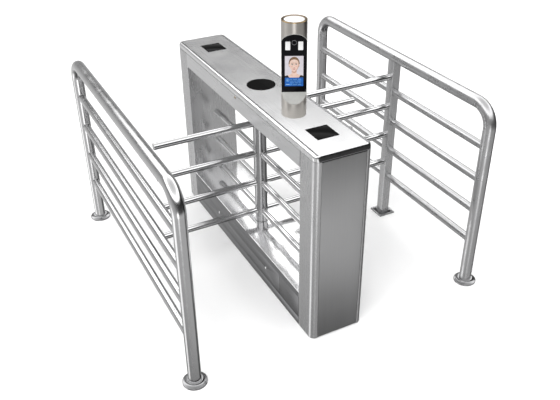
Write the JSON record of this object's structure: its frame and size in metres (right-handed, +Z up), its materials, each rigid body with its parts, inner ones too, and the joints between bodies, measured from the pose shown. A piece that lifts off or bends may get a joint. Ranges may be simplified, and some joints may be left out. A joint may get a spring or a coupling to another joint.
{
  "type": "half-height rotary turnstile",
  "caption": "Half-height rotary gate: a cabinet with a turning post of crossed arms, a face-reading totem, tubular fences on both sides and a fixed comb of bars.",
  "frame": {"origin": "on the floor at the middle of the cabinet, at the centre of its anchor holes", "axes": "+Z up; +Y along the cabinet to its rear pedestal, which is the end away from the totem; +X to the fence that carries the comb"},
  "size_m": [1.63, 1.6156, 1.413],
  "materials": {
    "steel_satin": "satin brushed stainless steel sheet",
    "steel_polished": "polished stainless steel",
    "steel_tube": "fine-ground stainless steel tube",
    "steel_zinc": "zinc-plated steel",
    "steel_machined": "machined steel",
    "black_glass": "glossy black acrylic",
    "aluminium_warm": "anodised, warm silver",
    "aluminium_light": "satin, light",
    "brass_rim": "satin brass",
    "lock_chrome": "chrome",
    "cast_housing": "painted casting",
    "black_plastic": "fine-grained",
    "white_plastic": "smooth",
    "board_green": "solder mask",
    "display": "display window"
  },
  "bodies": {
    "base": {"base_frame": "steel_zinc", "front_pedestal_shell": "steel_satin", "rear_pedestal_shell": "steel_satin", "end_panels": "steel_satin", "sill_panels": "steel_satin", "floor_plate": "steel_polished", "beam_shell": "steel_satin", "control_board": "board_green", "power_supply": "steel_zinc", "cable_gland": "black_plastic", "hinge_fixed_leaves": "steel_zinc", "lock_barrel": "lock_chrome", "mechanism_plate": "steel_zinc", "upper_bearing_housing": "cast_housing", "lower_bearing_housing": "cast_housing", "rotor_bearings": "steel_machined", "pawl_pins": "steel_zinc", "solenoids": "black_plastic", "plunger_springs": "steel_zinc", "damper_body": "cast_housing", "encoder_body": "black_plastic", "left_fence_frame": "steel_tube", "left_fence_rails": "steel_tube", "right_fence_frame": "steel_tube", "right_fence_rails": "steel_tube", "fence_flanges": "steel_zinc", "fence_covers": "steel_polished", "comb_post": "steel_satin", "comb_bars": "steel_polished", "comb_caps": "steel_polished", "sill_bolts": "steel_polished"},
    "rotor": {"rotor_post": "steel_polished", "rotor_shaft": "steel_machined", "arms": "steel_polished", "arm_caps": "steel_polished", "lock_disc": "steel_machined", "drive_gear": "brass_rim"},
    "lid_assembly": {"lid": "steel_satin", "reader_windows": "black_glass", "centre_window": "black_glass", "reader_boards": "board_green", "lid_catch": "steel_zinc", "hinge_lid_leaves": "steel_zinc", "totem_tube": "aluminium_warm", "totem_scoop": "aluminium_light", "totem_panel": "black_glass", "totem_screen": "display", "totem_lamps": "white_plastic", "totem_camera": "black_plastic", "totem_rim": "brass_rim", "totem_diffuser": "white_plastic", "totem_flange": "steel_zinc"},
    "key_lock": {"lock_plug": "brass_rim", "lock_cam": "steel_zinc"},
    "pawl_rear": {"rear_pawl": "steel_machined"},
    "pawl_front": {"front_pawl": "steel_machined"},
    "plunger_rear": {"rear_plunger": "steel_machined"},
    "plunger_front": {"front_plunger": "steel_machined"},
    "damper_drive": {"damper_pinion": "white_plastic"},
    "encoder_drive": {"encoder_pinion": "white_plastic"}
  },
  "joints": [
    {"name": "rotor_turn", "type": "hinge", "parent": "base", "child": "rotor", "pos_m": [-0.014, 0, 0], "axis": [0, 0, 1], "continuous": true},
    {"name": "lid_hinge", "type": "hinge", "parent": "base", "child": "lid_assembly", "pos_m": [0.1435, 0, 0.951], "axis": [0, 1, 0], "range_deg": [0, 80]},
    {"name": "key_turn", "type": "hinge", "parent": "base", "child": "key_lock", "pos_m": [-0.14, 0, 0.941], "axis": [-1, 0, 0], "range_deg": [0, 90]},
    {"name": "rear_pawl_swing", "type": "hinge", "parent": "base", "child": "pawl_rear", "pos_m": [-0.062, 0.084, 0.909], "axis": [0, 0, -1], "range_deg": [0, 7.5], "stiffness_Nm_per_rad": 0.4, "springref_deg": -11.46},
    {"name": "front_pawl_swing", "type": "hinge", "parent": "base", "child": "pawl_front", "pos_m": [0.034, -0.084, 0.909], "axis": [0, 0, -1], "range_deg": [0, 7.5], "stiffness_Nm_per_rad": 0.4, "springref_deg": -11.46},
    {"name": "rear_plunger_slide", "type": "slide", "parent": "base", "child": "plunger_rear", "axis": [0, -1, 0], "range_m": [0, 0.01]},
    {"name": "front_plunger_slide", "type": "slide", "parent": "base", "child": "plunger_front", "axis": [0, 1, 0], "range_m": [0, 0.01]},
    {"name": "damper_turn", "type": "hinge", "parent": "base", "child": "damper_drive", "pos_m": [0.061, 0, 0.9], "axis": [0, 0, 1], "continuous": true},
    {"name": "encoder_turn", "type": "hinge", "parent": "base", "child": "encoder_drive", "pos_m": [-0.094, 0, 0.9], "axis": [0, 0, 1], "continuous": true}
  ],
  "couplings": [
    {"joint": "rear_plunger_slide", "follows": "rear_pawl_swing", "m_per_rad": 0.076},
    {"joint": "front_plunger_slide", "follows": "front_pawl_swing", "m_per_rad": 0.076},
    {"joint": "damper_turn", "follows": "rotor_turn", "ratio": -4},
    {"joint": "encoder_turn", "follows": "rotor_turn", "ratio": -3}
  ]
}
